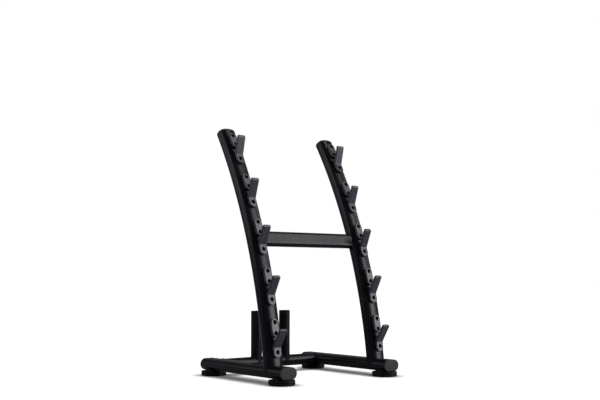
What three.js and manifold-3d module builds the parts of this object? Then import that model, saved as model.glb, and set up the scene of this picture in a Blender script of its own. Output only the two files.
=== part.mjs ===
// Free-standing gym storage rack, millimetres, +Z up, -Y to the front, +X to the right.
// Two flat-oval base rails on four rubber feet carry two uprights that curve back towards the
// top. Each upright has five stations on its front: a bent steel hook below and a plastic wear
// pad above, which together cradle a steel shaft that lies across the rack. A round beam joins
// the rails at the rear and carries three open tubes, in which more shafts stand on end.
// The origin is on the floor, under the middle of the rack's footprint.

import * as THREE from 'three';
import { mergeVertices } from 'three/addons/utils/BufferGeometryUtils.js';
import Module from 'manifold-3d';

const wasm = await Module();
wasm.setup();

// Base frame
const railSpacing = 675;
const railLength = 700;
const railWidth = 100;
const railHeight = 60;
const railUnderside = 28;
const tubeWall = 3;
const beamDiameter = 60;
const beamInset = 102;
const storageTubeDiameter = 60;
const storageTubePitch = 95;
const storageTubeTop = 333;

// Feet
const footDiameter = 131;
const footInset = 56;
const footDiscHeight = 27;
const footEdgeRadius = 4;
const footGrooveDepth = 3;
const footGrooveHeight = 3;
const footUpperTier = 9;
const footUpperInset = 2;
const footRidgeWidth = 5;
const footRidgeHeight = 1.5;
const footNeckDiameter = 90;
const footSaddleHeight = 14;
const footStudDiameter = 12;
const footStudReach = 15;

// Uprights, measured along the centre line of the tube
const uprightWidth = 100;
const uprightDepth = 70;
const uprightBendRadius = 2870;
const uprightFootLean = THREE.MathUtils.degToRad(6.9);
const uprightLength = 1262;
const uprightSetback = 126;
const crossbarHeight = 80;
const crossbarDepth = 40;
const crossbarRise = 638;

// End caps
const capFlange = 5;
const capRounding = 3;
const capPlugDepth = 16;
const capPlugWall = 2.5;
const topCapRim = 3;
const topCapDome = 17;

// Stations, evenly spaced along the centre line of the tube: the lowest hook's screw is a
// given distance above the tube's lower end, and the highest a given distance below its top
const stationCount = 5;
const lowestStation = 60;
const highestStationDrop = 190;

// Hooks, bent from flat bar
const hookWidth = 45;
const hookThickness = 12;
const hookTabBelowScrew = 28;
const hookFoldAboveScrew = 23;
const hookStrapLength = 101;
const hookStrapAngle = THREE.MathUtils.degToRad(41);
const hookFoldRadius = 6;
const hookTipCorner = 7;
const hookTipRounding = 5;

// Wear pads
const padLength = 92;
const padWidth = 43;
const padThickness = 12;
const padChamfer = 1.5;
const padScrewAboveHookScrew = 143;
const padScrewFromEnd = 19;

// Countersunk socket screws that hold the hooks and the pads
const screwHeadDiameter = 22;
const screwHeadHeight = 5.5;
const screwHeadRecess = 0.6;
const screwShankDiameter = 12;
const screwLength = 26;
const screwSocketSize = 8;
const screwSocketDepth = 4;
const screwEndChamfer = 1;

// Fits and cuts
const clearance = 0.3;
const overrun = 5;
const mergeDistance = 1e-4;

// Roundness, as numbers of straight steps
const ovalSteps = 4;
const roundSteps = 20;
const footSteps = 20;
const screwSteps = 8;
const socketSides = 6;
const uprightSteps = 12;
const padSteps = 4;
const roundingSteps = 3;
const domeSteps = 4;

const railEnd = railLength / 2;
const railCentre = railUnderside + railHeight / 2;
const railTop = railUnderside + railHeight;
const railX = railSpacing / 2;
const footY = railEnd - footInset;
const beamY = railEnd - beamInset;
const uprightBaseY = -railEnd + uprightSetback;

// Centre of the uprights' bend, behind the rack and below the floor
const bendCentreY = uprightBaseY + uprightBendRadius * Math.cos(uprightFootLean);
const bendCentreZ = railTop - uprightBendRadius * Math.sin(uprightFootLean);

const leanAt = (rise) => uprightFootLean + rise / uprightBendRadius;

const finish = (color, roughness, metalness) =>
  new THREE.MeshStandardMaterial({ color, roughness, metalness });

const blackPowderCoat = () => finish(0x15151b, 0.45, 0.3);
const greyPowderCoat = () => finish(0x3c3c43, 0.55, 0.3);
const greyPlastic = () => finish(0x45454b, 0.6, 0);
const capPlastic = () => finish(0x303034, 0.55, 0);
const blackRubber = () => finish(0x0c0c0e, 0.7, 0);
const blackenedSteel = () => finish(0x1b1b1e, 0.35, 0.9);

function toSolid(geometry) {
  const bare = geometry.clone();
  bare.deleteAttribute('normal');
  bare.deleteAttribute('uv');
  const merged = mergeVertices(bare, mergeDistance);
  const triVerts = Uint32Array.from(merged.index.array);
  const vertProperties = Float32Array.from(merged.attributes.position.array);
  return new wasm.Manifold(new wasm.Mesh({ numProp: 3, vertProperties, triVerts }));
}

function toGeometry(solid) {
  const mesh = solid.getMesh();
  const geometry = new THREE.BufferGeometry();
  geometry.setAttribute('position', new THREE.BufferAttribute(mesh.vertProperties, 3));
  geometry.setIndex(new THREE.BufferAttribute(mesh.triVerts, 1));
  geometry.computeVertexNormals();
  return geometry;
}

function cut(geometry, ...cutters) {
  let solid = toSolid(geometry);
  for (const cutter of cutters) {
    solid = solid.subtract(toSolid(cutter));
  }
  return toGeometry(solid);
}

function join(geometry, ...others) {
  let solid = toSolid(geometry);
  for (const other of others) {
    solid = solid.add(toSolid(other));
  }
  return toGeometry(solid);
}

// Outline of a flat-oval tube: two straight sides joined by two half circles
function ovalOutline(width, height, PathClass = THREE.Shape) {
  const outline = new PathClass();
  const radius = Math.min(width, height) / 2;
  const flatX = width / 2 - radius;
  const flatY = height / 2 - radius;
  const quarter = Math.PI / 2;
  if (flatX >= flatY) {
    outline.absarc(flatX, 0, radius, -quarter, quarter);
    outline.absarc(-flatX, 0, radius, quarter, quarter + Math.PI);
  } else {
    outline.absarc(0, flatY, radius, 0, Math.PI);
    outline.absarc(0, -flatY, radius, Math.PI, 2 * Math.PI);
  }
  outline.closePath();
  return outline;
}

function tubeOutline(width, height, wall) {
  const outline = ovalOutline(width, height);
  outline.holes.push(ovalOutline(width - 2 * wall, height - 2 * wall, THREE.Path));
  return outline;
}

// Straight bar or tube of a given outline, centred on the origin, running along Y or X
function alongY(outline, depth, curveSegments = ovalSteps) {
  const geometry = new THREE.ExtrudeGeometry(outline, { depth, bevelEnabled: false, curveSegments });
  geometry.translate(0, 0, -depth / 2);
  geometry.rotateX(Math.PI / 2);
  return geometry;
}

function alongX(outline, length, curveSegments = ovalSteps) {
  return alongY(outline, length, curveSegments).rotateZ(Math.PI / 2);
}

// Upright cylinder or cone from one height to another
function post(lowerDiameter, upperDiameter, from, to, steps) {
  const geometry = new THREE.CylinderGeometry(upperDiameter / 2, lowerDiameter / 2, to - from, steps);
  geometry.rotateX(Math.PI / 2);
  geometry.translate(0, 0, (from + to) / 2);
  return geometry;
}

// Solid of revolution about Z from [radius, height] pairs that start and end on the axis
function turned(profile, steps) {
  const points = profile.map(([radius, height]) => new THREE.Vector2(radius, height));
  const geometry = new THREE.LatheGeometry(points, steps);
  geometry.rotateX(Math.PI / 2);
  return geometry;
}

// Closed skin over a stack of rings, which all have the same number of points
function skin(rings) {
  const count = rings[0].length;
  const positions = rings.flat().flatMap((point) => [point.x, point.y, point.z]);
  const index = [];
  for (let ring = 0; ring < rings.length - 1; ring += 1) {
    for (let i = 0; i < count; i += 1) {
      const a = ring * count + i;
      const b = ring * count + ((i + 1) % count);
      index.push(a, b, b + count, a, b + count, a + count);
    }
  }
  const last = (rings.length - 1) * count;
  for (let i = 1; i < count - 1; i += 1) {
    index.push(0, i + 1, i);
    index.push(last, last + i, last + i + 1);
  }
  const geometry = new THREE.BufferGeometry();
  geometry.setAttribute('position', new THREE.Float32BufferAttribute(positions, 3));
  geometry.setIndex(index);
  return geometry;
}

// Flat-oval block in the XY plane whose outline draws in level by level, for rims and domes.
// Each level is [inset, height].
function ovalBlock(width, height, levels, curveSegments = ovalSteps) {
  const rings = levels.map(([inset, z]) => {
    const outline = ovalOutline(width - 2 * inset, height - 2 * inset);
    const points = outline.getPoints(curveSegments).slice(0, -1);
    return points.map((point) => new THREE.Vector3(point.x, point.y, z));
  });
  return skin(rings);
}

// Centre line of an upright
class BendLine extends THREE.Curve {
  constructor(from, to) {
    super();
    this.from = from;
    this.to = to;
  }

  getPoint(share, target = new THREE.Vector3()) {
    const lean = leanAt(this.from + (this.to - this.from) * share);
    const y = bendCentreY - uprightBendRadius * Math.cos(lean);
    const z = bendCentreZ + uprightBendRadius * Math.sin(lean);
    return target.set(0, y, z);
  }
}

function alongUpright(outline, from, to, steps) {
  const extrudePath = new BendLine(from, to);
  return new THREE.ExtrudeGeometry(outline, { steps, extrudePath, curveSegments: ovalSteps });
}

// A place on an upright: X across, Y up along the tube and Z out of its front, with the origin
// a given distance in front of the centre line
function placeOnUpright(rise, x, out) {
  const group = new THREE.Group();
  const lean = leanAt(rise);
  const radius = uprightBendRadius + out;
  group.position.set(x, bendCentreY - radius * Math.cos(lean), bendCentreZ + radius * Math.sin(lean));
  group.rotation.x = Math.PI / 2 - lean;
  group.updateMatrix();
  return group;
}

const rack = new THREE.Group();

function addPiece(name, geometry, material, parent = rack) {
  const mesh = new THREE.Mesh(geometry, material);
  mesh.name = name;
  parent.add(mesh);
  return mesh;
}

const sides = [
  ['left', -1],
  ['right', 1],
];

// Base rails: flat-oval tube lying on its wide side, with a hole below for each foot's stud
const capGap = capFlange + clearance;
const railTubeLength = railLength - 2 * capGap;
const footRow = [
  ['front', -footY],
  ['rear', footY],
];
const railTube = alongY(tubeOutline(railWidth, railHeight, tubeWall), railTubeLength);
railTube.translate(0, 0, railCentre);
const studHoles = footRow.map(([, y]) => {
  const hole = post(footStudDiameter, footStudDiameter, -overrun, tubeWall + overrun, screwSteps);
  hole.scale(1 + (2 * clearance) / footStudDiameter, 1 + (2 * clearance) / footStudDiameter, 1);
  hole.translate(0, y, railUnderside);
  return hole;
});
const rail = cut(railTube, ...studHoles);

// The space that a rail takes up, for what is shaped to it
const railSpace = alongY(
  ovalOutline(railWidth + 2 * clearance, railHeight + 2 * clearance),
  railLength + 2 * overrun,
);
railSpace.translate(0, 0, railCentre);

for (const [side, sign] of sides) {
  const mesh = addPiece(`base_rail_${side}`, rail, blackPowderCoat());
  mesh.position.x = sign * railX;
}

// A cap for an open tube end: a rounded flange, and behind it a hollow plug that grips the bore.
// It is modelled with the flange towards +Z.
function tubeCap(width, height, levels) {
  const flange = ovalBlock(width, height, levels);
  const plugWidth = width - 2 * (tubeWall + clearance);
  const plugHeight = height - 2 * (tubeWall + clearance);
  const plug = new THREE.ExtrudeGeometry(tubeOutline(plugWidth, plugHeight, capPlugWall), {
    depth: capPlugDepth + capFlange / 2,
    bevelEnabled: false,
    curveSegments: ovalSteps,
  });
  plug.translate(0, 0, -capPlugDepth);
  return join(flange, plug);
}

// Rows of an edge that is rounded off in steps: from full width to drawn in by the radius
function roundedRows(radius, rise, top, steps) {
  const rows = [];
  for (let i = 1; i <= steps; i += 1) {
    const turn = ((Math.PI / 2) * i) / steps;
    rows.push([radius * (1 - Math.cos(turn)), top - rise + rise * Math.sin(turn)]);
  }
  return rows;
}

const railCap = tubeCap(railWidth, railHeight, [
  [0, 0],
  [0, capFlange - capRounding],
  ...roundedRows(capRounding, capRounding, capFlange, roundingSteps),
]);

for (const [side, sign] of sides) {
  for (const [end, direction] of [['front', -1], ['rear', 1]]) {
    const mesh = addPiece(`rail_end_cap_${end}_${side}`, railCap, capPlastic());
    mesh.rotation.x = -direction * (Math.PI / 2);
    mesh.position.set(sign * railX, direction * (railEnd - capFlange), railCentre);
  }
}

// Feet: two-tier rubber disc with a ridge on top and a neck shaped to the rail's underside.
// A threaded stud, moulded in, goes through the rail's lower wall.
const footRadius = footDiameter / 2;
const footUpperRadius = footRadius - footUpperInset;
const footGrooveRadius = footRadius - footGrooveDepth;
const footLowerTier = footDiscHeight - footUpperTier - footGrooveHeight;
const footNeckRadius = footNeckDiameter / 2;
const footRidgeRadius = (footUpperRadius + footNeckRadius) / 2;
const footBody = turned([
  [0, 0],
  [footRadius - footEdgeRadius, 0],
  [footRadius, footEdgeRadius],
  [footRadius, footLowerTier],
  [footGrooveRadius, footLowerTier + footGrooveHeight / 2],
  [footUpperRadius, footLowerTier + footGrooveHeight],
  [footUpperRadius, footDiscHeight - footEdgeRadius / 2],
  [footUpperRadius - footEdgeRadius / 2, footDiscHeight],
  [footRidgeRadius + footRidgeWidth, footDiscHeight],
  [footRidgeRadius + footRidgeWidth / 2, footDiscHeight - footRidgeHeight],
  [footRidgeRadius, footDiscHeight],
  [footNeckRadius, footDiscHeight],
  [footNeckRadius, railUnderside + footSaddleHeight],
  [0, railUnderside + footSaddleHeight],
], footSteps);
const footStud = post(
  footStudDiameter,
  footStudDiameter,
  footDiscHeight / 2,
  railUnderside + tubeWall + footStudReach,
  screwSteps,
);
const foot = join(cut(footBody, railSpace), footStud);

for (const [side, sign] of sides) {
  for (const [row, y] of footRow) {
    const mesh = addPiece(`foot_${row}_${side}`, foot, blackRubber());
    mesh.position.set(sign * railX, y, 0);
  }
}

// Rear beam: round tube between the rails, its ends coped to the rails' rounded sides
const beamOutline = tubeOutline(beamDiameter, beamDiameter, tubeWall);
const roundTubeSegments = roundSteps / 4;
const beamTube = alongX(beamOutline, railSpacing, roundTubeSegments);
beamTube.translate(0, beamY, railCentre);
const railSpaces = sides.map(([, sign]) => railSpace.clone().translate(sign * railX, 0, 0));
addPiece('rear_base_beam', cut(beamTube, ...railSpaces), blackPowderCoat());

// Storage tubes: open at the top, their lower ends coped over the beam
const beamSpace = alongX(
  ovalOutline(beamDiameter + 2 * clearance, beamDiameter + 2 * clearance),
  railSpacing,
  roundTubeSegments,
);
beamSpace.translate(0, beamY, railCentre);
const storageTubeBlank = new THREE.ExtrudeGeometry(
  tubeOutline(storageTubeDiameter, storageTubeDiameter, tubeWall),
  { depth: storageTubeTop - railCentre, bevelEnabled: false, curveSegments: roundTubeSegments },
);
storageTubeBlank.translate(0, beamY, railCentre);
const storageTube = cut(storageTubeBlank, beamSpace);

for (const [place, step] of [['left', -1], ['middle', 0], ['right', 1]]) {
  const mesh = addPiece(`storage_tube_${place}`, storageTube, blackPowderCoat());
  mesh.position.x = step * storageTubePitch;
}

// Stations up each upright: a place for the hook, at its screw, and one for the wear pad, at
// its middle
const uprightFront = uprightDepth / 2;
const padScrewOffset = padLength / 2 - padScrewFromEnd;
const stationSpan = uprightLength - lowestStation - highestStationDrop;
const stationPitch = stationSpan / (stationCount - 1);

function stationPlaces(number, x) {
  const rise = lowestStation + (number - 1) * stationPitch;
  const padRise = rise + padScrewAboveHookScrew - padScrewOffset;
  return [
    placeOnUpright(rise, x, uprightFront + clearance),
    placeOnUpright(padRise, x, uprightFront + clearance),
  ];
}

const stationNumbers = Array.from({ length: stationCount }, (_, i) => i + 1);

// Uprights: flat-oval tube with its wide side to the front, bent to one large radius. The lower
// end is coped over the rail, and the front wall is drilled for every screw.
const uprightBlank = alongUpright(
  tubeOutline(uprightWidth, uprightDepth, tubeWall),
  -railHeight / 2,
  uprightLength,
  uprightSteps,
);
const screwHoleDiameter = screwShankDiameter + 2 * clearance;
const screwHole = post(screwHoleDiameter, screwHoleDiameter, -tubeWall - overrun, overrun, screwSteps);
const screwHoles = stationNumbers.flatMap((number) => {
  const [hookPlace, padPlace] = stationPlaces(number, 0);
  const padHoles = [padScrewOffset, -padScrewOffset].map((offset) =>
    screwHole.clone().translate(0, offset, 0).applyMatrix4(padPlace.matrix),
  );
  return [screwHole.clone().applyMatrix4(hookPlace.matrix), ...padHoles];
});
const upright = cut(uprightBlank, railSpace, ...screwHoles);

for (const [side, sign] of sides) {
  const mesh = addPiece(`upright_${side}`, upright, blackPowderCoat());
  mesh.position.x = sign * railX;
}

// Domed caps on the uprights
const topCap = tubeCap(uprightWidth, uprightDepth, [
  [0, 0],
  [0, topCapRim],
  ...roundedRows(uprightFront - topCapRim, topCapDome, topCapRim + topCapDome, domeSteps),
]);

for (const [side, sign] of sides) {
  const place = placeOnUpright(uprightLength + clearance, sign * railX, 0);
  rack.add(place);
  const mesh = addPiece(`upright_top_cap_${side}`, topCap, capPlastic(), place);
  mesh.rotation.x = -Math.PI / 2;
}

// Crossbar: flat-oval tube on edge, leaning as the uprights do and coped to their sides
const uprightSpace = alongUpright(
  ovalOutline(uprightWidth + 2 * clearance, uprightDepth + 2 * clearance),
  -railHeight / 2,
  uprightLength,
  uprightSteps,
);
const crossbarTube = alongX(tubeOutline(crossbarDepth, crossbarHeight, tubeWall), railSpacing);
crossbarTube.rotateX(-leanAt(crossbarRise));
const crossbarPlace = placeOnUpright(crossbarRise, 0, 0).position;
crossbarTube.translate(crossbarPlace.x, crossbarPlace.y, crossbarPlace.z);
const uprightSpaces = sides.map(([, sign]) => uprightSpace.clone().translate(sign * railX, 0, 0));
addPiece('crossbar', cut(crossbarTube, ...uprightSpaces), blackPowderCoat());

// Screw: countersunk head with a hexagon socket, axis along Z, head's face at the origin
const screwHeadRadius = screwHeadDiameter / 2;
const screwShankRadius = screwShankDiameter / 2;
const screwBody = turned([
  [0, -screwLength],
  [screwShankRadius - screwEndChamfer, -screwLength],
  [screwShankRadius, screwEndChamfer - screwLength],
  [screwShankRadius, -screwHeadHeight],
  [screwHeadRadius, 0],
  [0, 0],
], screwSteps);
const socketDiameter = screwSocketSize / Math.cos(Math.PI / socketSides);
const screwSocket = post(socketDiameter, socketDiameter, -screwSocketDepth, overrun, socketSides);
const screw = cut(screwBody, screwSocket);

// The countersunk hole that a screw sits in, with its mouth on the plane z = 0
const countersinkFace = screwHeadRadius + clearance;
const countersinkShank = screwShankRadius + clearance;
const countersinkDepth = screwHeadRecess + screwHeadHeight + clearance;
const countersink = turned([
  [0, -padThickness - hookThickness - overrun],
  [countersinkShank, -padThickness - hookThickness - overrun],
  [countersinkShank, -countersinkDepth],
  [countersinkFace, -screwHeadRecess],
  [countersinkFace, overrun],
  [0, overrun],
], screwSteps);

// Hook: flat bar with a half-round lower end, folded outwards above its screw. The bar is
// followed from end to end as a row of rectangular sections, which stand closer together
// where the half-round end is narrow.
const tabEndShares = [0.14, 0.35, 0.6, 0.82, 1];

function hookShape() {
  const half = hookThickness / 2;
  const foldTan = Math.tan(hookStrapAngle / 2);
  const foldY = hookFoldAboveScrew + half * foldTan;
  const foldMid = hookFoldRadius + half;
  const foldReach = foldMid * foldTan;
  const along = new THREE.Vector2(Math.cos(hookStrapAngle), Math.sin(hookStrapAngle));
  const strapReach = hookStrapLength + half * foldTan;
  const endRadius = hookWidth / 2;
  const rows = [];

  const addRow = (y, z, turn, width, trim = 0) => rows.push({ y, z, turn, width, trim });

  for (const share of tabEndShares) {
    const turn = (Math.PI / 2) * share;
    const y = -hookTabBelowScrew + endRadius * (1 - Math.cos(turn));
    addRow(y, half, 0, hookWidth * Math.sin(turn));
  }
  for (let i = 0; i <= roundingSteps; i += 1) {
    const turn = (hookStrapAngle * i) / roundingSteps;
    const y = foldY - foldReach + foldMid * Math.sin(turn);
    const z = half + foldMid * (1 - Math.cos(turn));
    addRow(y, z, turn, hookWidth);
  }
  for (let i = 0; i <= roundingSteps; i += 1) {
    const turn = ((Math.PI / 2) * i) / roundingSteps;
    const reach = strapReach - hookTipCorner + hookTipCorner * Math.sin(turn);
    const drawIn = 1 - Math.cos(turn);
    const y = foldY + along.x * reach;
    const z = half + along.y * reach;
    addRow(y, z, hookStrapAngle, hookWidth - 2 * hookTipCorner * drawIn, hookTipRounding * drawIn);
  }

  const rings = rows.map(({ y, z, turn, width, trim }) => {
    const out = new THREE.Vector2(-Math.sin(turn), Math.cos(turn));
    const corner = (x, offset) => new THREE.Vector3(x, y + out.x * offset, z + out.y * offset);
    return [
      corner(-width / 2, -half),
      corner(-width / 2, half - trim),
      corner(width / 2, half - trim),
      corner(width / 2, -half),
    ];
  });
  return cut(skin(rings), countersink.clone().translate(0, 0, hookThickness));
}

const hook = hookShape();

// Wear pad: chamfered obround block with a countersunk screw near each end
const padBlank = ovalBlock(padWidth, padLength, [
  [0, 0],
  [0, padThickness - padChamfer],
  [padChamfer, padThickness],
], padSteps);
const pad = cut(
  padBlank,
  countersink.clone().translate(0, padScrewOffset, padThickness),
  countersink.clone().translate(0, -padScrewOffset, padThickness),
);

for (const [side, sign] of sides) {
  for (const number of stationNumbers) {
    const [hookPlace, padPlace] = stationPlaces(number, sign * railX);
    rack.add(hookPlace, padPlace);
    addPiece(`hook_${side}_${number}`, hook, greyPowderCoat(), hookPlace);
    addPiece(`wear_pad_${side}_${number}`, pad, greyPlastic(), padPlace);

    const hookScrew = addPiece(`hook_screw_${side}_${number}`, screw, blackenedSteel(), hookPlace);
    hookScrew.position.z = hookThickness - screwHeadRecess;
    const padScrew = addPiece(`pad_screw_${side}_${number}`, screw, blackenedSteel(), padPlace);
    padScrew.position.set(0, padScrewOffset, padThickness - screwHeadRecess);
  }
}

export default rack;
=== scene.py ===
# A free-standing gym storage rack, dressed for a studio picture. All sizes are in metres, in
# the frame of the CAD model: origin on the floor under the middle of the rack, +Z up, the
# hooks to the front at -Y, and +X to the right.

from math import cos, pi, radians, sin, sqrt, tan

import bmesh
import bpy
from mathutils import Matrix, Vector


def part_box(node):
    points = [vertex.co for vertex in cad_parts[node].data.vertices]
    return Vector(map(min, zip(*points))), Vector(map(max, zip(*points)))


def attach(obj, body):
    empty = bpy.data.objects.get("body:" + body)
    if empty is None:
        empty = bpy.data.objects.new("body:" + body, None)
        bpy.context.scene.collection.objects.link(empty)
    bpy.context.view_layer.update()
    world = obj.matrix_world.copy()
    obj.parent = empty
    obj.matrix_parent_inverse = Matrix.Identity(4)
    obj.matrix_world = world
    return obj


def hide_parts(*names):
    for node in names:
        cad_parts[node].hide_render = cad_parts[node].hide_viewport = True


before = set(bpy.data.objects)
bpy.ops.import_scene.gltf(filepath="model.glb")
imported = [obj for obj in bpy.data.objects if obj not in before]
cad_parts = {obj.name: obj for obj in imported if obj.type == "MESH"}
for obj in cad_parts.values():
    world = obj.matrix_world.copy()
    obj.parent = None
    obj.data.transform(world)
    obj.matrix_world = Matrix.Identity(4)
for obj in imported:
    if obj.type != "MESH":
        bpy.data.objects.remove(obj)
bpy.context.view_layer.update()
scene = bpy.context.scene


# The view. The camera stands at the rack's front left corner, as high as the lower stations,
# and looks up a little.
camera_place = (-3.1245, -3.9362, 0.5171)
camera_heading = radians(38.513)
camera_pitch = radians(4.624)
camera_sensor = 36
camera_lens = 56.87

camera_data = bpy.data.cameras.new("camera")
camera_data.sensor_width = camera_sensor
camera_data.lens = camera_lens
camera = bpy.data.objects.new("camera", camera_data)
camera.location = camera_place
camera.rotation_euler = (pi / 2 + camera_pitch, 0, -camera_heading)
scene.collection.objects.link(camera)
scene.camera = camera
scene.view_settings.view_transform = "Standard"


# The studio. Two wide soft lamps, one over the other, stand far away at the front right, and
# weaker ones high up, at the right and at the left. The room is white to look at, dim in
# reflections, and gives little light of its own.
room_colour = (1, 1, 1, 1)
room_fill = 0.20
room_dim_end = 0.55
room_white_end = 0.85
room_mirror_share = 0.06
lamp_aim = Vector((0, 0, 0.6))
lamp_distance = 8
# each has its bearing to the right of the front, its height as an angle, its size and power
lamps = (
    ("key", 37, 8, (3.3, 3.8), 480),
    ("key_upper", 41, 34, (3.0, 3.6), 290),
    ("high", 50, 60, (2.0, 2.0), 95),
    ("right", 80, 25, (2.0, 2.4), 80),
    ("left", -122, 18, (6.5, 3.0), 135),
    ("left_upper", -88, 33, (3.2, 3.4), 170),
)


def white_for_the_eye(tree, mirror_share):
    """A factor that is 1 for the camera and for glass rays, a share for mirror rays, and 0 for
    the rest."""
    path = tree.nodes.new("ShaderNodeLightPath")
    mirror = tree.nodes.new("ShaderNodeMath")
    mirror.operation = "MULTIPLY"
    mirror.inputs[1].default_value = mirror_share
    tree.links.new(path.outputs["Is Glossy Ray"], mirror.inputs[0])
    seen = path.outputs["Is Camera Ray"]
    for ray in (path.outputs["Is Transmission Ray"], mirror.outputs[0]):
        either = tree.nodes.new("ShaderNodeMath")
        either.operation = "MAXIMUM"
        tree.links.new(seen, either.inputs[0])
        tree.links.new(ray, either.inputs[1])
        seen = either.outputs[0]
    return seen


world = bpy.data.worlds.new("studio")
scene.world = world
world.use_nodes = True
room = world.node_tree
room.nodes.clear()
room_output = room.nodes.new("ShaderNodeOutputWorld")
room_mix = room.nodes.new("ShaderNodeMixShader")
room_light = room.nodes.new("ShaderNodeBackground")
room_light.inputs["Strength"].default_value = room_fill
room_white = room.nodes.new("ShaderNodeBackground")
room_white.inputs["Color"].default_value = room_colour
room_way = room.nodes.new("ShaderNodeTexCoord")
room_ahead = room.nodes.new("ShaderNodeVectorMath")
room_ahead.operation = "DOT_PRODUCT"
room_ahead.inputs[1].default_value = (sin(camera_heading), cos(camera_heading), 0)
room_fade = room.nodes.new("ShaderNodeMapRange")
room_fade.inputs["From Min"].default_value = room_dim_end
room_fade.inputs["From Max"].default_value = room_white_end
room_fade.inputs["To Min"].default_value = room_fill
room_path = room.nodes.new("ShaderNodeLightPath")
room_strength = room.nodes.new("ShaderNodeMath")
room_strength.operation = "MAXIMUM"
room.links.new(room_way.outputs["Generated"], room_ahead.inputs[0])
room.links.new(room_ahead.outputs["Value"], room_fade.inputs["Value"])
room.links.new(room_fade.outputs["Result"], room_strength.inputs[0])
room.links.new(room_path.outputs["Is Camera Ray"], room_strength.inputs[1])
room.links.new(room_strength.outputs[0], room_white.inputs["Strength"])
room.links.new(white_for_the_eye(room, room_mirror_share), room_mix.inputs["Fac"])
room.links.new(room_light.outputs[0], room_mix.inputs[1])
room.links.new(room_white.outputs[0], room_mix.inputs[2])
room.links.new(room_mix.outputs[0], room_output.inputs["Surface"])

for name, bearing, climb, (width, height), power in lamps:
    lamp_data = bpy.data.lights.new(name, "AREA")
    lamp_data.shape = "RECTANGLE"
    lamp_data.size = width
    lamp_data.size_y = height
    lamp_data.energy = power
    lamp = bpy.data.objects.new(name, lamp_data)
    turn, rise = radians(bearing), radians(climb)
    away = Vector((sin(turn) * cos(rise), -cos(turn) * cos(rise), sin(rise)))
    lamp.location = lamp_aim + away * lamp_distance
    lamp.rotation_euler = away.to_track_quat("Z", "Y").to_euler()
    scene.collection.objects.link(lamp)


# The floor, a pale sheet on which only the rack's shadow shows. Its own glow rises with the
# distance from the rack, where the lamps reach less far. Near the rack the glow is dimmed by a
# painted contact shadow, darkest in the nooks under it where shade falls.
floor_size = 60
floor_colour = (0.30, 0.30, 0.29, 1)
floor_glow_near = 0.86
floor_glow_far = 1.0
floor_fade_start = 0.6
floor_fade_end = 3.0
floor_mirror_share = 0.20
# reach and strength of the painted contact shadow that dims the floor's glow under the rack
floor_painted_shadow_reach = 0.070
floor_painted_shadow_depth = 3.1

floor_material = bpy.data.materials.new("floor_sheet")
floor_material.use_nodes = True
sheet = floor_material.node_tree
sheet.nodes.clear()
sheet_output = sheet.nodes.new("ShaderNodeOutputMaterial")
sheet_paint = sheet.nodes.new("ShaderNodeBsdfDiffuse")
sheet_paint.inputs["Color"].default_value = floor_colour
sheet_place = sheet.nodes.new("ShaderNodeTexCoord")
sheet_distance = sheet.nodes.new("ShaderNodeVectorMath")
sheet_distance.operation = "LENGTH"
sheet_fade = sheet.nodes.new("ShaderNodeMapRange")
sheet_fade.interpolation_type = "SMOOTHSTEP"
sheet_fade.inputs["From Min"].default_value = floor_fade_start
sheet_fade.inputs["From Max"].default_value = floor_fade_end
sheet_fade.inputs["To Min"].default_value = floor_glow_near
sheet_fade.inputs["To Max"].default_value = floor_glow_far
sheet_seen = sheet.nodes.new("ShaderNodeMath")
sheet_seen.operation = "MULTIPLY"
# painted contact shadow: ambient occlusion darkens the floor's glow where the rack is close
# above it
sheet_painted_shadow = sheet.nodes.new("ShaderNodeAmbientOcclusion")
sheet_painted_shadow.inputs["Distance"].default_value = floor_painted_shadow_reach
sheet_deepen = sheet.nodes.new("ShaderNodeMath")
sheet_deepen.operation = "POWER"
sheet_deepen.inputs[1].default_value = floor_painted_shadow_depth
sheet_dim = sheet.nodes.new("ShaderNodeMath")
sheet_dim.operation = "MULTIPLY"
sheet_glow = sheet.nodes.new("ShaderNodeEmission")
sheet_sum = sheet.nodes.new("ShaderNodeAddShader")
sheet.links.new(sheet_place.outputs["Object"], sheet_distance.inputs[0])
sheet.links.new(sheet_distance.outputs["Value"], sheet_fade.inputs["Value"])
sheet.links.new(sheet_fade.outputs["Result"], sheet_seen.inputs[0])
sheet.links.new(white_for_the_eye(sheet, floor_mirror_share), sheet_seen.inputs[1])
sheet.links.new(sheet_painted_shadow.outputs["AO"], sheet_deepen.inputs[0])
sheet.links.new(sheet_seen.outputs[0], sheet_dim.inputs[0])
sheet.links.new(sheet_deepen.outputs[0], sheet_dim.inputs[1])
sheet.links.new(sheet_dim.outputs[0], sheet_glow.inputs["Strength"])
sheet.links.new(sheet_paint.outputs[0], sheet_sum.inputs[0])
sheet.links.new(sheet_glow.outputs[0], sheet_sum.inputs[1])
sheet.links.new(sheet_sum.outputs[0], sheet_output.inputs["Surface"])

floor_bm = bmesh.new()
bmesh.ops.create_grid(floor_bm, x_segments=1, y_segments=1, size=floor_size / 2)
floor_mesh = bpy.data.meshes.new("floor")
floor_bm.to_mesh(floor_mesh)
floor_bm.free()
floor_mesh.materials.append(floor_material)
floor = bpy.data.objects.new("floor", floor_mesh)
scene.collection.objects.link(floor)


# Base rails. Flat-oval steel tube, laid on its wide side from front to back, cut square and
# powder-coated black. Everything else stands on these two.
rail_left_low, rail_left_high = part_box("base_rail_left")
rail_right_low, rail_right_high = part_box("base_rail_right")
rail_width = rail_left_high.x - rail_left_low.x
rail_height = rail_left_high.z - rail_left_low.z
rail_middle_z = (rail_left_low.z + rail_left_high.z) / 2
rail_x = (rail_right_low.x + rail_right_high.x) / 2
rail_radius = rail_height / 2
rail_flat = rail_width / 2 - rail_radius
tube_segments = 96
tube_edge_break = 0.0006
tube_edge_steps = 2
same_point = 1e-6
smooth_angle = radians(40)
sides = (("left", -1), ("right", 1))


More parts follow.
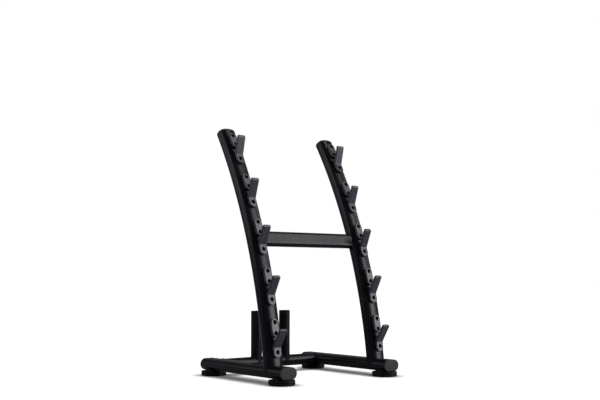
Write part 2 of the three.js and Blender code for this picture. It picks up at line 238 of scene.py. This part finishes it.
def build_fine_grain():
    """Shared surface effect: small bumps of a coat or a moulding, and soft patches on it."""
    group = bpy.data.node_groups.new("fine_grain", "ShaderNodeTree")
    for name in ("Grain Size", "Patch Size"):
        group.interface.new_socket(name, in_out="INPUT", socket_type="NodeSocketFloat")
    for name in ("Height", "Patches"):
        group.interface.new_socket(name, in_out="OUTPUT", socket_type="NodeSocketFloat")
    patch_start = 0.32
    patch_end = 0.68
    tree_in = group.nodes.new("NodeGroupInput")
    tree_out = group.nodes.new("NodeGroupOutput")
    place = group.nodes.new("ShaderNodeTexCoord")

    def noise(size_name, detail, roughness):
        scale = group.nodes.new("ShaderNodeMath")
        scale.operation = "DIVIDE"
        scale.inputs[0].default_value = 1
        group.links.new(tree_in.outputs[size_name], scale.inputs[1])
        cloud = group.nodes.new("ShaderNodeTexNoise")
        cloud.inputs["Detail"].default_value = detail
        cloud.inputs["Roughness"].default_value = roughness
        group.links.new(place.outputs["Object"], cloud.inputs["Vector"])
        group.links.new(scale.outputs[0], cloud.inputs["Scale"])
        return cloud

    bumps = noise("Grain Size", detail=2, roughness=0.6)
    patches = noise("Patch Size", detail=4, roughness=0.55)
    spread = group.nodes.new("ShaderNodeMapRange")
    spread.inputs["From Min"].default_value = patch_start
    spread.inputs["From Max"].default_value = patch_end
    group.links.new(bumps.outputs["Fac"], tree_out.inputs["Height"])
    group.links.new(patches.outputs["Fac"], spread.inputs["Value"])
    group.links.new(spread.outputs["Result"], tree_out.inputs["Patches"])
    return group


fine_grain = build_fine_grain()


def grained_material(name, deep, pale, roughness, grain_size, grain_depth, patch_size, specular):
    """A coat, moulding or metal with a fine bump all over. In soft patches its colour drifts
    from deep to pale, and its roughness from one end of a range to the other."""
    material = bpy.data.materials.new(name)
    material.use_nodes = True
    tree = material.node_tree
    surface = tree.nodes["Principled BSDF"]
    surface.inputs["Specular IOR Level"].default_value = specular
    effect = tree.nodes.new("ShaderNodeGroup")
    effect.node_tree = fine_grain
    effect.inputs["Grain Size"].default_value = grain_size
    effect.inputs["Patch Size"].default_value = patch_size
    colour = tree.nodes.new("ShaderNodeMix")
    colour.data_type = "RGBA"
    colour.inputs["A"].default_value = deep
    colour.inputs["B"].default_value = pale
    gloss = tree.nodes.new("ShaderNodeMapRange")
    gloss.inputs["To Min"].default_value = roughness[0]
    gloss.inputs["To Max"].default_value = roughness[1]
    bump = tree.nodes.new("ShaderNodeBump")
    bump.inputs["Strength"].default_value = 1
    bump.inputs["Distance"].default_value = grain_depth
    tree.links.new(effect.outputs["Patches"], colour.inputs["Factor"])
    tree.links.new(effect.outputs["Patches"], gloss.inputs["Value"])
    tree.links.new(effect.outputs["Height"], bump.inputs["Height"])
    tree.links.new(colour.outputs["Result"], surface.inputs["Base Color"])
    tree.links.new(gloss.outputs["Result"], surface.inputs["Roughness"])
    tree.links.new(bump.outputs["Normal"], surface.inputs["Normal"])
    return material


black_coat = grained_material(
    "black_powder_coat",
    deep=(0.0016, 0.0016, 0.0038, 1),
    pale=(0.0044, 0.0044, 0.0080, 1),
    roughness=(0.25, 0.33),
    grain_size=0.0011,
    grain_depth=0.00003,
    patch_size=0.12,
    specular=0.12,
)


def oval_ring(bm, width, height):
    """The outline of a flat-oval tube, round its middle in the XY plane: a circle pulled
    apart along its longer way. Returns its edges."""
    radius = min(width, height) / 2
    pull = Vector((width / 2 - radius, height / 2 - radius, 0))
    half_segment = pi / tube_segments
    corner_radius = radius / cos(half_segment)
    ring = bmesh.ops.create_circle(bm, segments=tube_segments, radius=corner_radius)
    verts = ring["verts"]
    turn = Matrix.Rotation(half_segment, 3, "Z")
    bmesh.ops.rotate(bm, verts=verts, cent=(0, 0, 0), matrix=turn)
    for sign in (-1, 1):
        half = [v for v in verts if sign * (v.co.x if pull.x else v.co.y) > 0]
        bmesh.ops.translate(bm, verts=half, vec=sign * pull)
    return bm.edges[:]


def pull_ring(bm, edges, way):
    """Draws a ring of edges out into a wall. Returns the new ring's edges."""
    made = bmesh.ops.extrude_edge_only(bm, edges=edges)["geom"]
    verts = [item for item in made if isinstance(item, bmesh.types.BMVert)]
    bmesh.ops.translate(bm, verts=verts, vec=way)
    return [item for item in made if isinstance(item, bmesh.types.BMEdge) and item.is_boundary]


def verts_of(items):
    """The corner points of edges or faces, each once."""
    return list(dict.fromkeys(vert for item in items for vert in item.verts))


def break_edges(bm, edges, width, segments):
    """Rounds edges off, as filing or the mould does."""
    bmesh.ops.bevel(
        bm,
        geom=edges,
        offset=width,
        offset_type="OFFSET",
        segments=segments,
        profile=0.5,
        affect="EDGES",
        material=-1,
    )


def place_piece(bm, name, material, slot_name, *nodes):
    """Makes a finished bmesh an object that is part of the rack, in place of its nodes."""
    bmesh.ops.remove_doubles(bm, verts=bm.verts, dist=same_point)
    bmesh.ops.recalc_face_normals(bm, faces=bm.faces)
    if bm.calc_volume(signed=True) < 0:
        bmesh.ops.reverse_faces(bm, faces=bm.faces)
    mesh = bpy.data.meshes.new(name)
    bm.to_mesh(mesh)
    bm.free()
    mesh.shade_smooth()
    mesh.set_sharp_from_angle(angle=smooth_angle)
    mesh.materials.append(material)
    piece = bpy.data.objects.new(name, mesh)
    scene.collection.objects.link(piece)
    even = piece.modifiers.new("even_shading", "WEIGHTED_NORMAL")
    even.keep_sharp = True
    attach(piece, "root")
    if nodes:
        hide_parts(*nodes)
    return piece


for side, sign in sides:
    node = f"base_rail_{side}"
    low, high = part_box(node)
    bm = bmesh.new()
    ring = oval_ring(bm, rail_width, rail_height)
    far_ring = pull_ring(bm, ring, (0, 0, high.y - low.y))
    bmesh.ops.holes_fill(bm, edges=bm.edges, sides=0)
    break_edges(bm, ring + far_ring, tube_edge_break, tube_edge_steps)
    bmesh.ops.rotate(bm, verts=bm.verts, cent=(0, 0, 0), matrix=Matrix.Rotation(-pi / 2, 3, "X"))
    bmesh.ops.translate(bm, verts=bm.verts, vec=(sign * rail_x, low.y, rail_middle_z))
    place_piece(bm, f"rail_{side}", black_coat, "black_powder_coat", node)


# Rail end caps. Moulded plastic plugs, pressed into both ends of each rail. Only the flange
# shows: as wide as the tube, rounded at its rim and very slightly crowned.
cap_flange = 0.005
cap_rounding = 0.003
cap_rounding_steps = 6
cap_crown_inset = 0.012
cap_crown_rise = 0.0005

cap_plastic = grained_material(
    "cap_plastic",
    deep=(0.012, 0.012, 0.013, 1),
    pale=(0.020, 0.020, 0.021, 1),
    roughness=(0.45, 0.55),
    grain_size=0.0007,
    grain_depth=0.00003,
    patch_size=0.03,
    specular=0.14,
)

for side, sign in sides:
    for end, way in (("front", -1), ("rear", 1)):
        node = f"rail_end_cap_{end}_{side}"
        low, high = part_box(node)
        outer_y = low.y if way < 0 else high.y
        bm = bmesh.new()
        ring = oval_ring(bm, rail_width, rail_height)
        rim = pull_ring(bm, ring, (0, 0, cap_flange))
        bmesh.ops.holes_fill(bm, edges=bm.edges, sides=0)
        break_edges(bm, rim, cap_rounding, cap_rounding_steps)
        bm.faces.ensure_lookup_table()
        face = max(bm.faces, key=lambda f: f.calc_center_median().z)
        bmesh.ops.inset_region(bm, faces=[face], thickness=cap_crown_inset, depth=cap_crown_rise)
        bmesh.ops.translate(bm, verts=bm.verts, vec=(0, 0, -cap_flange - cap_crown_rise))
        turn = Matrix.Rotation(-way * pi / 2, 3, "X")
        bmesh.ops.rotate(bm, verts=bm.verts, cent=(0, 0, 0), matrix=turn)
        bmesh.ops.translate(bm, verts=bm.verts, vec=(sign * rail_x, outer_y, rail_middle_z))
        place_piece(bm, f"end_cap_{end}_{side}", cap_plastic, "cap_plastic", node)


# Feet. Black rubber mouldings bolted under the rails: a wide disc with a groove round its
# edge, and a neck that cups the rounded underside of the rail.
foot_segments = 72
foot_edge = 0.0080
foot_edge_steps = 6
foot_disc_height = 0.0245
foot_groove_low = 0.0125
foot_groove_high = 0.0155
foot_groove_depth = 0.0026
foot_groove_lip = 0.0008
foot_step = 0.0003
foot_step_lip = 0.0006
foot_shoulder = 0.0022
foot_shoulder_break = 0.0007
foot_ridge_radius = 0.0545
foot_ridge_width = 0.0050
foot_ridge_drop = 0.0015
foot_neck_radius = 0.0450
foot_neck_fillet = 0.0020
foot_neck_fillet_break = 0.0006
foot_neck_top = 0.0420
foot_neck_gap = 0.0002
foot_cup_shares = (1, 0.8, 0.5, 0)

rubber = grained_material(
    "black_rubber",
    deep=(0.0020, 0.0020, 0.0025, 1),
    pale=(0.0050, 0.0050, 0.0055, 1),
    roughness=(0.42, 0.60),
    grain_size=0.0009,
    grain_depth=0.00004,
    patch_size=0.025,
    specular=0.09,
)


def rail_underside(x):
    """Height of a rail's lower surface at a distance from its middle."""
    beyond = max(abs(x) - rail_flat, 0)
    return rail_middle_z - sqrt(max(rail_radius**2 - beyond**2, 0))


def turned(bm, profile, segments):
    """Spins a profile of (radius, height) pairs round the Z axis."""
    points = [bm.verts.new((radius, 0, height)) for radius, height in profile]
    lines = [bm.edges.new(pair) for pair in zip(points, points[1:])]
    bmesh.ops.spin(
        bm,
        geom=points + lines,
        cent=(0, 0, 0),
        axis=(0, 0, 1),
        angle=2 * pi,
        steps=segments,
        use_merge=True,
    )
    bmesh.ops.remove_doubles(bm, verts=bm.verts, dist=same_point)


for side, sign in sides:
    for row in ("front", "rear"):
        node = f"foot_{row}_{side}"
        low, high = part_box(node)
        foot_radius = (high.y - low.y) / 2
        bm = bmesh.new()
        upper = foot_radius - foot_step
        turns = [pi / 2 * step / foot_edge_steps for step in range(foot_edge_steps + 1)]
        profile = [(0, 0)]
        for turn in turns:
            out = foot_radius - foot_edge * (1 - sin(turn))
            profile.append((out, foot_edge * (1 - cos(turn))))
        profile += [
            (foot_radius, foot_groove_low - foot_groove_lip),
            (foot_radius - foot_groove_lip, foot_groove_low),
            (foot_radius - foot_groove_depth, (foot_groove_low + foot_groove_high) / 2),
            (upper - foot_step_lip, foot_groove_high),
            (upper, foot_groove_high + foot_step_lip),
            (upper, foot_disc_height - foot_shoulder),
            (upper - foot_shoulder_break, foot_disc_height - foot_shoulder_break),
            (upper - foot_shoulder, foot_disc_height),
            (foot_ridge_radius + foot_ridge_width / 2, foot_disc_height),
            (foot_ridge_radius, foot_disc_height - foot_ridge_drop),
            (foot_ridge_radius - foot_ridge_width / 2, foot_disc_height),
            (foot_neck_radius + foot_neck_fillet, foot_disc_height),
            (
                foot_neck_radius + foot_neck_fillet_break,
                foot_disc_height + foot_neck_fillet_break,
            ),
            (foot_neck_radius, foot_disc_height + foot_neck_fillet),
        ]
        profile += [(foot_neck_radius * share, foot_neck_top) for share in foot_cup_shares]
        turned(bm, profile, foot_segments)
        for vert in bm.verts:
            vert.co.z = min(vert.co.z, rail_underside(vert.co.x) - foot_neck_gap)
        middle_y = (low.y + high.y) / 2
        bmesh.ops.translate(bm, verts=bm.verts, vec=(sign * rail_x, middle_y, 0))
        place_piece(bm, f"foot_{row}_{side}_moulding", rubber, "black_rubber", node)


# Rear beam. Round steel tube across the back of the base, its ends shaped to the rails and
# welded on all the way round.
beam_low, beam_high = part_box("rear_base_beam")
beam_y = (beam_low.y + beam_high.y) / 2
beam_radius = (beam_high.z - beam_low.z) / 2
weld_radius = 0.0032
weld_ripple = 0.8
weld_roundness = 2
weld_gap = 0.0003
# how long a tube is before its ends are shaped to what they meet
rough_length = 1


def rail_side(z):
    """How far a rail's rounded side reaches from its middle at a given height."""
    return rail_flat + sqrt(max(rail_radius**2 - (z - rail_middle_z) ** 2, 0))


def weld(name, loop):
    """A rippled bead of weld metal, coated with the tubes, along a closed loop of points."""
    curve = bpy.data.curves.new(name, "CURVE")
    curve.dimensions = "3D"
    curve.bevel_depth = weld_radius
    curve.bevel_resolution = weld_roundness
    spline = curve.splines.new("POLY")
    spline.points.add(len(loop) - 1)
    for number, (point, place) in enumerate(zip(spline.points, loop)):
        point.co = (*place, 1)
        point.radius = 1 if number % 2 else weld_ripple
    spline.use_cyclic_u = True
    curve.materials.append(black_coat)
    bead = bpy.data.objects.new(name, curve)
    scene.collection.objects.link(bead)
    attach(bead, "root")


def in_order(edges):
    """The points of a closed ring of edges, one after the other from the leftmost."""
    links = {}
    for edge in edges:
        for vert in edge.verts:
            links.setdefault(vert, []).append(edge.other_vert(vert))
    here = min(links, key=lambda vert: vert.co[:])
    behind = None
    loop = []
    for _ in links:
        loop.append(here.co.copy())
        ahead = [vert for vert in links[here] if vert is not behind]
        behind, here = here, min(ahead, key=lambda vert: vert.co[:])
    return loop


bm = bmesh.new()
ring = oval_ring(bm, 2 * beam_radius, 2 * beam_radius)
far_ring = pull_ring(bm, ring, (0, 0, rough_length))
bmesh.ops.rotate(bm, verts=bm.verts, cent=(0, 0, 0), matrix=Matrix.Rotation(pi / 2, 3, "Y"))
bmesh.ops.translate(bm, verts=bm.verts, vec=(0, beam_y, rail_middle_z))
for (side, sign), end in zip(sides, (ring, far_ring)):
    for vert in verts_of(end):
        vert.co.x = sign * (rail_x - rail_side(vert.co.z) - weld_gap)
    weld(f"weld_beam_{side}", in_order(end))
bmesh.ops.holes_fill(bm, edges=bm.edges, sides=0)
place_piece(bm, "rear_beam", black_coat, "black_powder_coat", "rear_base_beam")


# Storage tubes. Three short steel tubes stand on the rear beam, open at the top. Their lower
# ends are shaped over the beam and welded, and the rims are rounded so that nothing scrapes.
storage_wall = 0.003
rim_rounding = 0.0012
rim_rounding_steps = 3


def beam_top(y):
    """Height of the beam's upper surface at a distance from its middle."""
    return rail_middle_z + sqrt(max(beam_radius**2 - y**2, 0))


for place in ("left", "middle", "right"):
    node = f"storage_tube_{place}"
    low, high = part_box(node)
    centre = (low + high) / 2
    radius = (high.x - low.x) / 2
    bm = bmesh.new()
    outer_foot = oval_ring(bm, 2 * radius, 2 * radius)
    outer_rim = pull_ring(bm, outer_foot, (0, 0, high.z))
    inner_rim = pull_ring(bm, outer_rim, (0, 0, 0))
    share = (radius - storage_wall) / radius
    bmesh.ops.scale(bm, verts=verts_of(inner_rim), vec=(share, share, 1))
    inner_foot = pull_ring(bm, inner_rim, (0, 0, -high.z))
    for vert in verts_of(outer_foot + inner_foot):
        vert.co.z = beam_top(vert.co.y) + weld_gap
    bmesh.ops.bridge_loops(bm, edges=outer_foot + inner_foot)
    bmesh.ops.translate(bm, verts=bm.verts, vec=(centre.x, beam_y, 0))
    weld(f"weld_storage_{place}", in_order(outer_foot))
    break_edges(bm, outer_rim + inner_rim, rim_rounding, rim_rounding_steps)
    place_piece(bm, f"storage_{place}", black_coat, "black_powder_coat", node)


# Uprights. Wide flat-oval steel tube, roll-bent to one large radius so that it leans back
# more and more. The rolls leave its flat sides a little crowned. The lower end is shaped over
# the rail and welded.
upright_width = 0.100
upright_depth = 0.070
upright_radius = upright_depth / 2
upright_fullness = 2.45
bend_radius = 2.870
foot_lean = radians(6.9)
upright_length = 1.262
upright_setback = 0.126
upright_steps = 64
cope_room = 0.012

rail_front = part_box("rail_end_cap_front_left")[0].y
rail_top = rail_left_high.z
upright_foot_y = rail_front + upright_setback
bend_y = upright_foot_y + bend_radius * cos(foot_lean)
bend_z = rail_top - bend_radius * sin(foot_lean)


def upright_ring(bm):
    """The outline of an upright's tube: an oval that is fuller than an ellipse, in the XY
    plane. Returns its edges."""
    verts = bmesh.ops.create_circle(bm, segments=tube_segments, radius=1)["verts"]
    for vert in verts:
        across = abs(vert.co.x) / upright_width * 2
        deep = abs(vert.co.y) / upright_depth * 2
        vert.co *= (across**upright_fullness + deep**upright_fullness) ** (-1 / upright_fullness)
    return bm.edges[:]


def on_upright(rise, x, out):
    """The place at a rise along an upright: X across it, Y up along it and Z out of its
    front, at a distance in front of its centre line."""
    lean = foot_lean + rise / bend_radius
    reach = bend_radius + out
    place = Matrix.Translation((x, bend_y - reach * cos(lean), bend_z + reach * sin(lean)))
    return place @ Matrix.Rotation(pi / 2 - lean, 4, "X")


for side, sign in sides:
    node = f"upright_{side}"
    bm = bmesh.new()
    foot_ring = upright_ring(bm)
    # the outline lies across the tube, so its Z way is turned to the tube's own
    stand = on_upright(cope_room, 0, 0) @ Matrix.Rotation(-pi / 2, 4, "X")
    bmesh.ops.transform(bm, verts=bm.verts, matrix=stand)
    cope_ring = pull_ring(bm, foot_ring, (0, 0, 0))
    for vert in verts_of(cope_ring):
        drop = vert.co.z - (2 * rail_middle_z - rail_underside(vert.co.x)) - weld_gap
        vert.co.z -= drop
        vert.co.y -= drop * tan(foot_lean)
    bmesh.ops.spin(
        bm,
        geom=foot_ring + verts_of(foot_ring),
        cent=(0, bend_y, bend_z),
        axis=(-1, 0, 0),
        angle=(upright_length - cope_room) / bend_radius,
        steps=upright_steps,
    )
    bmesh.ops.translate(bm, verts=bm.verts, vec=(sign * rail_x, 0, 0))
    weld(f"weld_upright_{side}", in_order(cope_ring))
    bmesh.ops.holes_fill(bm, edges=bm.edges, sides=0)
    place_piece(bm, f"upright_{side}_tube", black_coat, "black_powder_coat", node)


# Top caps. Moulded plastic domes that close the uprights, with a short straight rim and a
# top that rounds over from all sides.
dome_rim = 0.003
dome_rise = 0.0166
dome_crown = 0.1
dome_steps = 12

for side, sign in sides:
    node = f"upright_top_cap_{side}"
    bm = bmesh.new()
    ring = pull_ring(bm, upright_ring(bm), (0, 0, dome_rim))
    width = 1
    for step in range(dome_steps):
        turn, next_turn = (pi / 2 * share / dome_steps for share in (step, step + 1))
        next_width = 1 - (1 - dome_crown) * (1 - cos(next_turn))
        ring = pull_ring(bm, ring, (0, 0, dome_rise * (sin(next_turn) - sin(turn))))
        shrink = next_width / width
        bmesh.ops.scale(bm, verts=verts_of(ring), vec=(shrink, shrink, 1))
        width = next_width
    bmesh.ops.holes_fill(bm, edges=bm.edges, sides=0)
    stand = on_upright(upright_length + weld_gap, sign * rail_x, 0)
    stand = stand @ Matrix.Rotation(-pi / 2, 4, "X")
    bmesh.ops.transform(bm, verts=bm.verts, matrix=stand)
    place_piece(bm, f"top_cap_{side}", cap_plastic, "cap_plastic", node)


# Crossbar. A flat-oval tube on edge ties the uprights together at mid height. It leans as
# they do there, and its ends are shaped to their rounded sides and welded.
crossbar_height = 0.080
crossbar_depth = 0.040
crossbar_rise = 0.638


def upright_side(depth):
    """How far an upright's rounded side reaches from its middle at a distance in depth."""
    rest = 1 - (abs(depth) / upright_radius) ** upright_fullness
    return upright_width / 2 * rest ** (1 / upright_fullness)


bm = bmesh.new()
ring = oval_ring(bm, crossbar_height, crossbar_depth)
far_ring = pull_ring(bm, ring, (0, 0, rough_length))
bmesh.ops.rotate(bm, verts=bm.verts, cent=(0, 0, 0), matrix=Matrix.Rotation(pi / 2, 3, "Y"))
bmesh.ops.rotate(bm, verts=bm.verts, cent=(0, 0, 0), matrix=Matrix.Rotation(pi / 2, 3, "X"))
for (side, sign), end in zip(sides, (ring, far_ring)):
    for vert in verts_of(end):
        vert.co.x = sign * (rail_x - upright_side(vert.co.z) - weld_gap)
bmesh.ops.transform(bm, verts=bm.verts, matrix=on_upright(crossbar_rise, 0, 0))
for (side, sign), end in zip(sides, (ring, far_ring)):
    weld(f"weld_crossbar_{side}", in_order(end))
bmesh.ops.holes_fill(bm, edges=bm.edges, sides=0)
place_piece(bm, "crossbar_tube", black_coat, "black_powder_coat", "crossbar")


# Hooks. Flat steel bar, rounded at its lower end, drilled and countersunk there, folded out
# from the upright above the screw, and coated dark grey. The blank is cut flat, its edges
# are broken, and then it is folded.
hook_width = 0.045
hook_thickness = 0.012
hook_below_screw = 0.028
hook_fold = 0.023
hook_fold_radius = 0.006
hook_angle = radians(41)
hook_strap = 0.101
hook_tip_corner = 0.007
hook_tip_curve = 0.0100
hook_tip_rounding = 0.0085
hook_edge_break = 0.0024
hook_edge_steps = 3
fold_slices = 8
tip_slices = 10
past_a_slice = 1e-5
seat_gap = 0.0003
seat_height = upright_radius + seat_gap
# the roundest end that leaves a sliver of the straight edge
full_round = 0.999

screw_head_radius = 0.011
screw_head_height = 0.0055
screw_recess = 0.0006
screw_shank_radius = 0.006
hole_play = 0.0003
hole_radius = screw_shank_radius + hole_play
hole_surround = screw_head_radius * 1.1
hole_segments = 40
plate_corner_steps = 20
# an edge that turns by more than this, in radians, is one of a plate's own corners
plate_edge_turn = 1

station_count = 5
lowest_station = 0.060
highest_station_drop = 0.190
station_pitch = (upright_length - lowest_station - highest_station_drop) / (station_count - 1)
stations = [
    (side, sign, number, lowest_station + (number - 1) * station_pitch)
    for side, sign in sides
    for number in range(1, station_count + 1)
]

grey_coat = grained_material(
    "grey_powder_coat",
    deep=(0.024, 0.024, 0.034, 1),
    pale=(0.038, 0.038, 0.053, 1),
    roughness=(0.24, 0.32),
    grain_size=0.0014,
    grain_depth=0.00004,
    patch_size=0.018,
    specular=0.17,
)


def cut_blank(bm, width, bottom, top, bottom_corner, top_corner):
    """The flat outline of a plate: a rectangle with its lower and upper corners rounded."""
    half = width / 2
    outline = ((-half, bottom), (half, bottom), (half, top), (-half, top))
    corners = [bm.verts.new((x, y, 0)) for x, y in outline]
    bm.faces.new(corners)
    for pair, radius in ((corners[:2], bottom_corner), (corners[2:], top_corner)):
        bmesh.ops.bevel(
            bm,
            geom=pair,
            offset=radius,
            offset_type="OFFSET",
            segments=plate_corner_steps,
            profile=0.5,
            affect="VERTICES",
            material=-1,
        )
    bmesh.ops.delete(bm, geom=bm.faces[:], context="FACES_ONLY")


def drill_plate(bm, holes, thickness):
    """Makes a flat outline a plate with its back on z = 0 and a countersunk hole at each
    given place. Returns the edges round its front and round its back."""
    for place in holes:
        hole = bmesh.ops.create_circle(bm, segments=hole_segments, radius=hole_radius)
        bmesh.ops.translate(bm, verts=hole["verts"], vec=place)
    bmesh.ops.triangle_fill(bm, use_beauty=True, edges=bm.edges)
    front = bm.faces[:]
    cone_foot = thickness - screw_recess - screw_head_height
    mouth = (screw_head_radius + hole_play) / hole_radius
    for rise, widen in ((cone_foot, 1), (screw_head_height, mouth), (screw_recess, 1)):
        rims = list(dict.fromkeys(edge for face in front for edge in face.edges))
        made = bmesh.ops.extrude_face_region(bm, geom=front + rims)["geom"]
        front = [item for item in made if isinstance(item, bmesh.types.BMFace)]
        verts = verts_of(front)
        bmesh.ops.translate(bm, verts=verts, vec=(0, 0, rise))
        for place in holes:
            centre = Vector(place)
            near = [v for v in verts if (v.co.xy - centre.xy).length < hole_surround]
            about = Matrix.Translation(-centre)
            bmesh.ops.scale(bm, verts=near, vec=(widen, widen, 1), space=about)

    def outer(edge, height):
        middle = (edge.verts[0].co + edge.verts[1].co) / 2
        level = all(abs(vert.co.z - height) < same_point for vert in edge.verts)
        far = all((middle.xy - Vector(place).xy).length > hole_surround for place in holes)
        return level and far and edge.calc_face_angle(0) > plate_edge_turn

    front_edges = [edge for edge in bm.edges if outer(edge, thickness)]
    back_edges = [edge for edge in bm.edges if outer(edge, 0)]
    return front_edges, back_edges


def slice_across(bm, y):
    """Gives a plate a line of edges across it, at a distance along it."""
    bmesh.ops.bisect_plane(
        bm,
        geom=bm.verts[:] + bm.edges[:] + bm.faces[:],
        plane_co=(0, y, 0),
        plane_no=(0, 1, 0),
        dist=same_point,
    )


hook_pattern = bmesh.new()
fold_start = hook_fold - hook_fold_radius * tan(hook_angle / 2)
fold_length = hook_fold_radius * hook_angle
hook_tip = fold_start + fold_length + hook_strap - hook_fold_radius * tan(hook_angle / 2)
cut_blank(
    hook_pattern,
    hook_width,
    -hook_below_screw,
    hook_tip,
    hook_width / 2 * full_round,
    hook_tip_corner,
)
front_rim, back_rim = drill_plate(hook_pattern, [(0, 0, 0)], hook_thickness)
break_edges(hook_pattern, front_rim + back_rim, hook_edge_break, hook_edge_steps)

# the tip is rounded over on its front
for number in range(tip_slices):
    slice_across(hook_pattern, hook_tip - hook_tip_curve * (1 - number / tip_slices))
for vert in hook_pattern.verts:
    reach = (vert.co.y - hook_tip + hook_tip_curve) / hook_tip_curve
    if reach > 0:
        drop = hook_tip_rounding * (1 - sqrt(max(1 - min(reach, 1) ** 2, 0)))
        vert.co.z -= drop * vert.co.z / hook_thickness

# the fold is made in narrow slices, each turned a little about the front face
for number in reversed(range(fold_slices)):
    slice_y = fold_start + fold_length * (number + 0.5) / fold_slices
    slice_across(hook_pattern, slice_y)
    beyond = [vert for vert in hook_pattern.verts if vert.co.y > slice_y + past_a_slice]
    turn = Matrix.Rotation(hook_angle / fold_slices, 3, "X")
    bmesh.ops.rotate(hook_pattern, verts=beyond, cent=(0, slice_y, hook_thickness), matrix=turn)

for side, sign, number, rise in stations:
    bm = hook_pattern.copy()
    place = on_upright(rise, sign * rail_x, seat_height)
    bmesh.ops.transform(bm, verts=bm.verts, matrix=place)
    name = f"hook_{side}_{number}"
    place_piece(bm, f"{name}_bar", grey_coat, "grey_powder_coat", name)
hook_pattern.free()


# Wear pads. Moulded plastic blocks with round ends, screwed to the uprights above the hooks,
# so that what lies in a hook rubs on plastic. The front rim is rounded off.
pad_length = 0.092
pad_width = 0.043
pad_thickness = 0.012
pad_rim = 0.0028
pad_rim_steps = 4
pad_corner = pad_width / 2 * full_round
pad_screw_above_hook_screw = 0.143
pad_screw_from_end = 0.019
pad_screw_offset = pad_length / 2 - pad_screw_from_end
pad_above_hook_screw = pad_screw_above_hook_screw - pad_screw_offset

grey_plastic = grained_material(
    "grey_plastic",
    deep=(0.032, 0.032, 0.037, 1),
    pale=(0.048, 0.048, 0.055, 1),
    roughness=(0.26, 0.36),
    grain_size=0.0006,
    grain_depth=0.00004,
    patch_size=0.03,
    specular=0.21,
)

pad_pattern = bmesh.new()
cut_blank(pad_pattern, pad_width, -pad_length / 2, pad_length / 2, pad_corner, pad_corner)
pad_holes = [(0, pad_screw_offset, 0), (0, -pad_screw_offset, 0)]
front_rim, back_rim = drill_plate(pad_pattern, pad_holes, pad_thickness)
break_edges(pad_pattern, front_rim, pad_rim, pad_rim_steps)

for side, sign, number, rise in stations:
    bm = pad_pattern.copy()
    place = on_upright(rise + pad_above_hook_screw, sign * rail_x, seat_height)
    bmesh.ops.transform(bm, verts=bm.verts, matrix=place)
    name = f"wear_pad_{side}_{number}"
    place_piece(bm, f"{name}_block", grey_plastic, "grey_plastic", name)
pad_pattern.free()


# Screws. Black countersunk socket screws: one through each hook, two through each wear pad.
# The head is a flat disc over a cone, with a hexagon socket.
screw_length = 0.026
screw_segments = 48
screw_edge = 0.0004
screw_edge_steps = 2
socket_radius = 0.0046
socket_depth = 0.004
socket_sides = 6

black_oxide = grained_material(
    "black_oxide",
    deep=(0.0010, 0.0010, 0.0012, 1),
    pale=(0.0030, 0.0030, 0.0034, 1),
    roughness=(0.40, 0.55),
    grain_size=0.0005,
    grain_depth=0.00003,
    patch_size=0.004,
    specular=0.012,
)

screw_pattern = bmesh.new()
bmesh.ops.create_circle(screw_pattern, segments=screw_segments, radius=screw_head_radius)
head_edges = screw_pattern.edges[:]
bmesh.ops.create_circle(screw_pattern, segments=socket_sides, radius=socket_radius)
socket_edges = screw_pattern.edges[len(head_edges) :]
bmesh.ops.triangle_fill(screw_pattern, use_beauty=True, edges=head_edges + socket_edges)
pull_ring(screw_pattern, socket_edges, (0, 0, -socket_depth))
cone = pull_ring(screw_pattern, head_edges, (0, 0, -screw_head_height))
share = screw_shank_radius / screw_head_radius
bmesh.ops.scale(screw_pattern, verts=verts_of(cone), vec=(share, share, 1))
pull_ring(screw_pattern, cone, (0, 0, screw_head_height - screw_length))
bmesh.ops.holes_fill(screw_pattern, edges=screw_pattern.edges, sides=0)
break_edges(screw_pattern, head_edges + socket_edges, screw_edge, screw_edge_steps)

for side, sign, number, rise in stations:
    hook_place = on_upright(rise, sign * rail_x, seat_height)
    pad_place = on_upright(rise + pad_above_hook_screw, sign * rail_x, seat_height)
    upper_place = pad_place @ Matrix.Translation((0, pad_screw_offset, 0))
    lower_place = pad_place @ Matrix.Translation((0, -pad_screw_offset, 0))
    spots = (
        (f"hook_screw_{side}_{number}", hook_place, hook_thickness, True),
        (f"pad_screw_{side}_{number}", upper_place, pad_thickness, True),
        (f"lower_screw_{side}_{number}", lower_place, pad_thickness, False),
    )
    for name, place, height, has_node in spots:
        bm = screw_pattern.copy()
        seat = Matrix.Translation((0, 0, height - screw_recess))
        bmesh.ops.transform(bm, verts=bm.verts, matrix=place @ seat)
        nodes = (name,) if has_node else ()
        place_piece(bm, f"{name}_body", black_oxide, "blackened_steel", *nodes)
screw_pattern.free()
